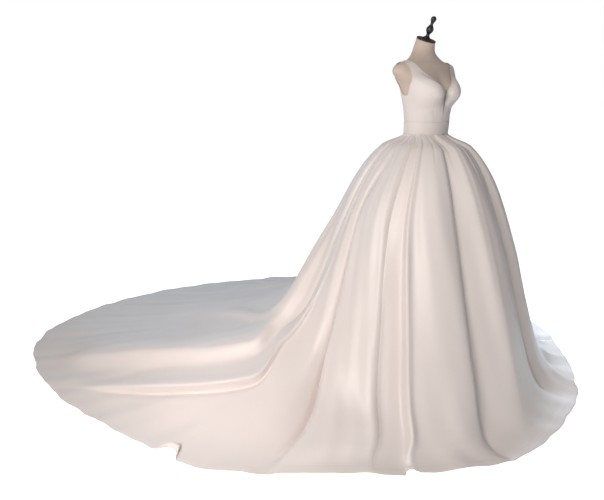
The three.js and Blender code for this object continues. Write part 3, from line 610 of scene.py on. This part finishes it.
def skirtGrid():
    lanes, waists, hems, leans, rises, seams = pleatLines()
    rings = np.linspace(0, 15, skirt["rows"] + 1)
    ring, waist = np.meshgrid(rings, waists, indexing="ij")
    lane = np.broadcast_to(lanes, ring.shape)
    shift = leans * ease(ring, 2.5, 5.5) * (1 - ease(ring, 9.5, 13))
    hem = np.broadcast_to(hems, ring.shape) + shift
    waist = waist + shift
    lie = skirtFloor(waist, hem, ring)
    inside = np.clip(ring, 0.02, 14.98)
    right = skirtFloor(waist - 0.01, hem - 0.01, inside) - skirtFloor(waist + 0.01, hem + 0.01, inside)
    up = skirtFloor(waist, hem, inside - 0.02) - skirtFloor(waist, hem, inside + 0.02)
    out = unit(np.cross(right, up))
    depth = curveThrough(skirt["pleatDepths"], ring)[1]
    quiet = skirt["calm"]
    calm = ease(lane, *quiet["from"]) * (1 - ease(lane, *quiet["to"])) * ease(ring, *quiet["rings"])
    rise = mix(np.broadcast_to(rises, ring.shape), quiet["rise"], calm) * depth
    wander = sum(size * np.sin(lane * byLane + ring * byRing + start)
                 for size, byLane, byRing, start in skirt["wander"])
    rise = rise + wander * ease(ring, 1, 5) * (1 - 0.6 * calm) * (1 - ease(ring, 13.5, 15))
    points = lie + out * rise[..., None]
    run = runLength(np.concatenate([points, points[:, :1]], 1), 1)
    around = run[:, -1:]
    run = run[:, :-1]
    lift = np.zeros_like(ring)
    for top, middle, foot, start, end, front, train, height in creases:
        t = np.clip((rings - start) / (end - start), 0, 1)
        where = top * (1 - t) * (1 - 2 * t) + middle * 4 * t * (1 - t) + foot * t * (2 * t - 1)
        at = np.array([np.interp(w, lanes, row) for w, row in zip(where, run)])[:, None]
        off = (run - at + around / 2) % around - around / 2
        fade = (ease(rings, start, start + 1.2) if start > 0 else np.ones_like(rings))
        fade = fade * (1 - ease(rings, end - 2.5, end) if end < 15 else 1 - 0.6 * ease(rings, 13, 15))
        narrow = mix(0.28, 1, ease(rings, 0, 6))[:, None]      # pleats close up towards the waist
        strength = mix(0.45, 1, ease(rings, 0, 5)) * fade
        lift = lift + height * strength[:, None] * np.exp(-(off / (np.where(off < 0, front, train) * narrow)) ** 2)
    along, across = points[..., :2] @ alongTrain, points[..., :2] @ acrossTrain
    onTrain = ease(lane, 4.02, 4.2) * (1 - ease(lane, 7.2, 7.6))
    slide = np.zeros_like(ring)
    for fold in trainCreases:
        middle = curveThrough(fold["path"], along)[1]
        off = across - middle
        shown = ease(along, fold["start"] - 200, fold["start"]) * (1 - ease(along, fold["end"] - 300, fold["end"]))
        shown = shown * onTrain * (1 - ease(ring, 14.2, 15))
        bump = np.exp(-(off / np.where(off < 0, fold["near"], fold["far"])) ** 2) * shown
        lift = lift + fold["rise"] * bump
        slide = slide + fold["roll"] * bump * np.exp(-((off - 12) / 26) ** 2)
    ripple = sum(size * np.sin(hem * count + start) for size, count, start in skirt["hemRipple"])
    lift = lift + ripple * ease(ring, 12.6, 14.8)
    points = points + out * lift[..., None]
    inOut = sum(size * np.sin(hem * count + start) for size, count, start in skirt["hemInOut"])
    points = points - unit(up * (1, 1, 0)) * (inOut * ease(ring, 12.8, 15))[..., None]
    points[..., :2] -= slide[..., None] * acrossTrain
    points[..., 2] = np.maximum(points[..., 2], 0.3)
    bearing = np.degrees(hem)
    toHem = runLength(points[::-1], 0)[::-1]
    for middle, spread, length in hemCurls:
        size = length * np.exp(-((bearing - middle) / spread) ** 4)
        turned = np.maximum(size - toHem, 0)
        radius = np.maximum(size / 3.4, 1)
        tangent = unit((points[-1:] - points[-4:-3]) * (1, 1, 0))
        bend = turned / radius
        points = points + np.where(turned > 0, 1, 0)[..., None] * (
            tangent * (radius * np.sin(bend) - turned)[..., None]
            + np.array([0, 0, 1]) * (radius * (1 - np.cos(bend)))[..., None])
    return points, seams


def buildSkirt():
    points, seams = skirtGrid()
    closed = np.concatenate([points, points[:, :1]], 1)
    acrossRun, downRun = runLength(closed, 1), runLength(closed, 0)
    toHem = downRun[-1:] - downRun
    made = {}
    for name, first, last in skirt["panels"]:
        part = slice(seams[first], seams[last] + 1)
        grid = closed[::-1, part][:, ::-1]
        cut = np.stack([acrossRun, -downRun], -1)[::-1, part][:, ::-1] * mm
        edge = np.stack([toHem, np.broadcast_to(acrossRun[-1:], toHem.shape)], -1)[::-1, part][:, ::-1] * mm
        piece = clothPiece(name + "_satin", grid, cut, edge, skirt["wall"], skirtSatin)
        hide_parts(name)
        made[name] = piece
    return made


skirtPieces = buildSkirt()
print("skirt hung:", sum(len(p.data.polygons) for p in skirtPieces.values()), "faces")


def coverMaterial():
    # linen cover of the form: plain weave and a cloudy change of tone
    mat = bpy.data.materials.new("formCover")
    mat.use_nodes = True
    tree = mat.node_tree
    shader = tree.nodes["Principled BSDF"]
    shader.inputs["Sheen Weight"].default_value = 0.2
    shader.inputs["Specular IOR Level"].default_value = 0.3
    chart = addNode(tree, "ShaderNodeUVMap", uv_map="cut")
    place = addNode(tree, "ShaderNodeTexCoord")
    weave = addNode(tree, "ShaderNodeTexBrick", offset=0.5)
    weave.inputs["Scale"].default_value = 1400
    weave.inputs["Mortar Size"].default_value = 0.15
    weave.inputs["Brick Width"].default_value = 1.2
    weave.inputs["Row Height"].default_value = 1.0
    link(tree, chart.outputs["UV"], weave.inputs["Vector"])
    cloud = addNode(tree, "ShaderNodeTexNoise")
    cloud.inputs["Scale"].default_value = 14
    cloud.inputs["Detail"].default_value = 5
    link(tree, place.outputs["Object"], cloud.inputs["Vector"])
    shade = addNode(tree, "ShaderNodeMix", data_type="RGBA")
    shade.inputs["A"].default_value = (0.66, 0.535, 0.445, 1)
    shade.inputs["B"].default_value = (0.58, 0.465, 0.39, 1)
    link(tree, cloud.outputs["Fac"], shade.inputs["Factor"])
    link(tree, shade.outputs["Result"], shader.inputs["Base Color"])
    link(tree, calc(tree, "MULTIPLY_ADD", cloud.outputs["Fac"], 0.15, 0.62), shader.inputs["Roughness"])
    bump = addNode(tree, "ShaderNodeBump")
    bump.inputs["Strength"].default_value = 0.3
    bump.inputs["Distance"].default_value = 0.0003
    link(tree, weave.outputs["Fac"], bump.inputs["Height"])
    link(tree, bump.outputs["Normal"], shader.inputs["Normal"])
    return mat


def lacquerMaterial():
    # black lacquered wood: faint grain under the gloss
    mat = bpy.data.materials.new("blackLacquer")
    mat.use_nodes = True
    tree = mat.node_tree
    shader = tree.nodes["Principled BSDF"]
    shader.inputs["Coat Weight"].default_value = 0.2
    shader.inputs["Coat Roughness"].default_value = 0.3
    place = addNode(tree, "ShaderNodeTexCoord")
    stretch = addNode(tree, "ShaderNodeMapping")
    stretch.inputs["Scale"].default_value = (160, 160, 14)
    link(tree, place.outputs["Object"], stretch.inputs["Vector"])
    grain = addNode(tree, "ShaderNodeTexNoise")
    grain.inputs["Scale"].default_value = 1
    grain.inputs["Detail"].default_value = 4
    link(tree, stretch.outputs["Vector"], grain.inputs["Vector"])
    shade = addNode(tree, "ShaderNodeMix", data_type="RGBA")
    shade.inputs["A"].default_value = (0.010, 0.009, 0.010, 1)
    shade.inputs["B"].default_value = (0.022, 0.020, 0.021, 1)
    link(tree, grain.outputs["Fac"], shade.inputs["Factor"])
    link(tree, shade.outputs["Result"], shader.inputs["Base Color"])
    link(tree, calc(tree, "MULTIPLY_ADD", grain.outputs["Fac"], 0.2, 0.28), shader.inputs["Roughness"])
    bump = addNode(tree, "ShaderNodeBump")
    bump.inputs["Strength"].default_value = 0.15
    bump.inputs["Distance"].default_value = 0.0004
    link(tree, grain.outputs["Fac"], bump.inputs["Height"])
    link(tree, bump.outputs["Normal"], shader.inputs["Normal"])
    return mat


def steelMaterial():
    # brushed steel of the stand
    mat = bpy.data.materials.new("standSteel")
    mat.use_nodes = True
    tree = mat.node_tree
    shader = tree.nodes["Principled BSDF"]
    shader.inputs["Metallic"].default_value = 1.0
    place = addNode(tree, "ShaderNodeTexCoord")
    stretch = addNode(tree, "ShaderNodeMapping")
    stretch.inputs["Scale"].default_value = (30, 30, 900)
    link(tree, place.outputs["Object"], stretch.inputs["Vector"])
    brush = addNode(tree, "ShaderNodeTexNoise")
    brush.inputs["Scale"].default_value = 1
    brush.inputs["Detail"].default_value = 3
    link(tree, stretch.outputs["Vector"], brush.inputs["Vector"])
    shade = addNode(tree, "ShaderNodeMix", data_type="RGBA")
    shade.inputs["A"].default_value = (0.42, 0.43, 0.45, 1)
    shade.inputs["B"].default_value = (0.56, 0.57, 0.59, 1)
    link(tree, brush.outputs["Fac"], shade.inputs["Factor"])
    link(tree, shade.outputs["Result"], shader.inputs["Base Color"])
    link(tree, calc(tree, "MULTIPLY_ADD", brush.outputs["Fac"], 0.25, 0.2), shader.inputs["Roughness"])
    bump = addNode(tree, "ShaderNodeBump")
    bump.inputs["Strength"].default_value = 0.1
    bump.inputs["Distance"].default_value = 0.0003
    link(tree, brush.outputs["Fac"], bump.inputs["Height"])
    link(tree, bump.outputs["Normal"], shader.inputs["Normal"])
    return mat


formCover, blackLacquer, standSteel = coverMaterial(), lacquerMaterial(), steelMaterial()


def formTorso():
    tall = form["top"] - form["bottom"]
    heights = np.linspace(form["bottom"], form["top"], round(tall / form["rowStep"]) + 1)
    turn = np.linspace(0, 2 * math.pi, form["columns"] + 1)
    points = formSkin(*np.broadcast_arrays(turn[None, :], heights[:, None]))
    rows, columns = points.shape[:2]
    bm = bmesh.new()
    bmesh.ops.create_grid(bm, x_segments=columns - 1, y_segments=rows - 1, size=1)
    chart = bm.loops.layers.uv.new("cut")
    around = runLength(points, 1)
    spots = {}
    for v in bm.verts:
        c = round((v.co.x + 1) / 2 * (columns - 1))
        r = round((v.co.y + 1) / 2 * (rows - 1))
        spots[v] = (around[r, c] * mm, heights[r] * mm)
        v.co = points[r, c] * mm
    for f in bm.faces:
        for loop in f.loops:
            loop[chart].uv = spots[loop.vert]
    bmesh.ops.remove_doubles(bm, verts=bm.verts, dist=1e-5)
    bmesh.ops.holes_fill(bm, edges=[e for e in bm.edges if e.is_boundary], sides=0)
    for f in bm.faces:
        f.smooth = len(f.verts) == 4
    mesh = bpy.data.meshes.new("form_torso_cover")
    bm.to_mesh(mesh)
    bm.free()
    mesh.materials.append(formCover)
    piece = bpy.data.objects.new("form_torso_cover", mesh)
    scene.collection.objects.link(piece)
    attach(piece, "root")
    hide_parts("form_torso")
    return piece


# cap and finial: radius and height above the slanted top of the neck
neckTop = {
    "lean": 23, "shift": 50, "height": 1605, "segments": 64,
    "cap": [(0, 0.3), (44, 0.3), (46.5, 1.2), (47.5, 2.5), (47.5, 5), (46.8, 6.4), (45, 7), (0, 7)],
    "finial": [
        (7.3, 22), (11, 20), (18, 11.5), (26, 8), (32, 9.5), (42, 15.5), (51, 17.5), (60, 15), (70, 9), (76, 7),
        (84, 8.5), (93, 12), (100, 13), (107, 10.5), (111.5, 5), (112.4, 1.5)],
}


def turnedPiece(name, node, outline):
    bm = bmesh.new()
    path = [bm.verts.new((radius * mm, 0, height * mm)) for radius, height in outline]
    for a, b in zip(path, path[1:]):
        bm.edges.new((a, b))
    bmesh.ops.spin(bm, geom=bm.verts[:] + bm.edges[:], cent=(0, 0, 0), axis=(0, 0, 1),
                   angle=2 * math.pi, steps=neckTop["segments"], use_merge=True)
    bmesh.ops.remove_doubles(bm, verts=bm.verts, dist=1e-6)
    bmesh.ops.recalc_face_normals(bm, faces=bm.faces)
    bmesh.ops.rotate(bm, verts=bm.verts, cent=(0, 0, 0), matrix=Matrix.Rotation(math.radians(neckTop["lean"]), 3, "X"))
    bmesh.ops.translate(bm, verts=bm.verts, vec=(0, neckTop["shift"] * mm, neckTop["height"] * mm))
    for f in bm.faces:
        f.smooth = True
    mesh = bpy.data.meshes.new(name)
    bm.to_mesh(mesh)
    bm.free()
    mesh.materials.append(blackLacquer)
    piece = bpy.data.objects.new(name, mesh)
    scene.collection.objects.link(piece)
    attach(piece, "root")
    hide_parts(node)
    return piece


formTorso()
turnedPiece("neck_cap_turned", "form_neck_cap", neckTop["cap"])
steps = np.linspace(7.3, 112.4, 70)
finialRadius = curveThrough(neckTop["finial"], steps)[1]
finialLine = [(0, 7.3)] + list(zip(finialRadius, steps)) + [(0, 112.5)]
turnedPiece("finial_turned", "form_finial", finialLine)
for name in ("form_pole", "form_base", "form_socket"):
    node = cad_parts[name]
    node.data.materials.clear()
    node.data.materials.append(standSteel)
print("form and stand finished")

# studio: pale floor, soft key from the left of the camera, cool light from behind, a weak front fill,
# and narrow soft lights on the near train (sweep) and the right hem (side)
studio = {
    "floor": 40.0, "world": 0.17, "worldTint": (0.93, 0.97, 1.0),
    "key": {"place": (-2.8, -1.0, 2.1), "aim": (-0.4, 0.1, 0.5),
            "size": 1.2, "power": 60, "tint": (1.0, 0.95, 0.92)},
    "back": {"place": (-0.2, 3.6, 1.7), "aim": (-0.6, 0.5, 0.1),
             "size": 3.0, "power": 31, "tint": (0.58, 0.80, 1.0)},
    "top": {"place": (-0.4, -0.2, 4.5), "aim": (-0.3, 0.1, 0.0),
            "size": 3.0, "power": 4, "tint": (0.95, 0.98, 1.0)},
    "side": {"place": (2.3, 0.7, 2.0), "aim": (0.76, -0.2, 0.0),
             "size": 0.8, "power": 6.5, "tint": (0.72, 0.86, 1.0),
             "spread": 40},
    "front": {"place": (-1.3, -3.2, 1.9), "aim": (-0.3, 0.0, 0.6),
              "size": 2.0, "power": 5, "tint": (1.0, 0.95, 0.92)},
    "sweep": {"place": (-1.9, -0.75, 1.5), "aim": (-1.12, 0.16, 0.05),
              "size": 0.5, "power": 0.7, "tint": (1.0, 0.94, 0.93),
              "spread": 44},
}


def areaLight(name, place, aim, size, power, colour, spread):
    lamp = bpy.data.lights.new(name, "AREA")
    lamp.shape = "SQUARE"
    lamp.size = size
    lamp.energy = power
    lamp.color = colour
    lamp.spread = math.radians(spread)
    holder = bpy.data.objects.new(name, lamp)
    holder.location = place
    holder.rotation_euler = (Vector(aim) - Vector(place)).to_track_quat("-Z", "Y").to_euler()
    holder.visible_camera = False
    scene.collection.objects.link(holder)
    return holder


for label in ("key", "back", "top", "side", "front", "sweep"):
    lamp = studio[label]
    areaLight(label, lamp["place"], lamp["aim"], lamp["size"], lamp["power"], lamp["tint"], lamp.get("spread", 180))
world = bpy.data.worlds.new("studio")
scene.world = world
world.use_nodes = True
tree = world.node_tree
glow = tree.nodes["Background"]
glow.inputs["Color"].default_value = (*studio["worldTint"], 1)
glow.inputs["Strength"].default_value = studio["world"]
white = addNode(tree, "ShaderNodeBackground")
white.inputs["Color"].default_value = (1, 1, 1, 1)
white.inputs["Strength"].default_value = 1.0
rays = addNode(tree, "ShaderNodeLightPath")
seen = addNode(tree, "ShaderNodeMixShader")
link(tree, rays.outputs["Is Camera Ray"], seen.inputs[0])
link(tree, glow.outputs[0], seen.inputs[1])
link(tree, white.outputs[0], seen.inputs[2])
link(tree, seen.outputs[0], tree.nodes["World Output"].inputs["Surface"])

bm = bmesh.new()
bmesh.ops.create_grid(bm, x_segments=8, y_segments=8, size=studio["floor"])
mesh = bpy.data.meshes.new("studioFloor")
bm.to_mesh(mesh)
bm.free()
floor = bpy.data.objects.new("studioFloor", mesh)
floor.location.z = -0.001
scene.collection.objects.link(floor)
pale = bpy.data.materials.new("paleFloor")
pale.use_nodes = True
shader = pale.node_tree.nodes["Principled BSDF"]
shader.inputs["Base Color"].default_value = (0.9, 0.9, 0.9, 1)
shader.inputs["Roughness"].default_value = 0.9
shader.inputs["Emission Color"].default_value = (1, 1, 1, 1)
rays = addNode(pale.node_tree, "ShaderNodeLightPath")
shine = calc(pale.node_tree, "MULTIPLY_ADD", rays.outputs["Is Camera Ray"], 0.75, 0.25)
link(pale.node_tree, shine, shader.inputs["Emission Strength"])
mesh.materials.append(pale)

view = {"place": (-1.727, -1.448, 1.347), "heading": 33.78, "down": 13.0, "focal": 430.0, "width": 604.0, "rise": 56.0}
lens = bpy.data.cameras.new("camera")
lens.sensor_fit = "HORIZONTAL"
lens.sensor_width = 36.0
lens.lens = 36.0 * view["focal"] / view["width"]
lens.shift_y = -view["rise"] / view["width"]
camera = bpy.data.objects.new("camera", lens)
camera.location = view["place"]
camera.rotation_euler = (math.radians(90 - view["down"]), 0, -math.radians(view["heading"]))
scene.collection.objects.link(camera)
scene.camera = camera
scene.view_settings.view_transform = "Standard"
scene.view_settings.look = "None"
print("studio lit")
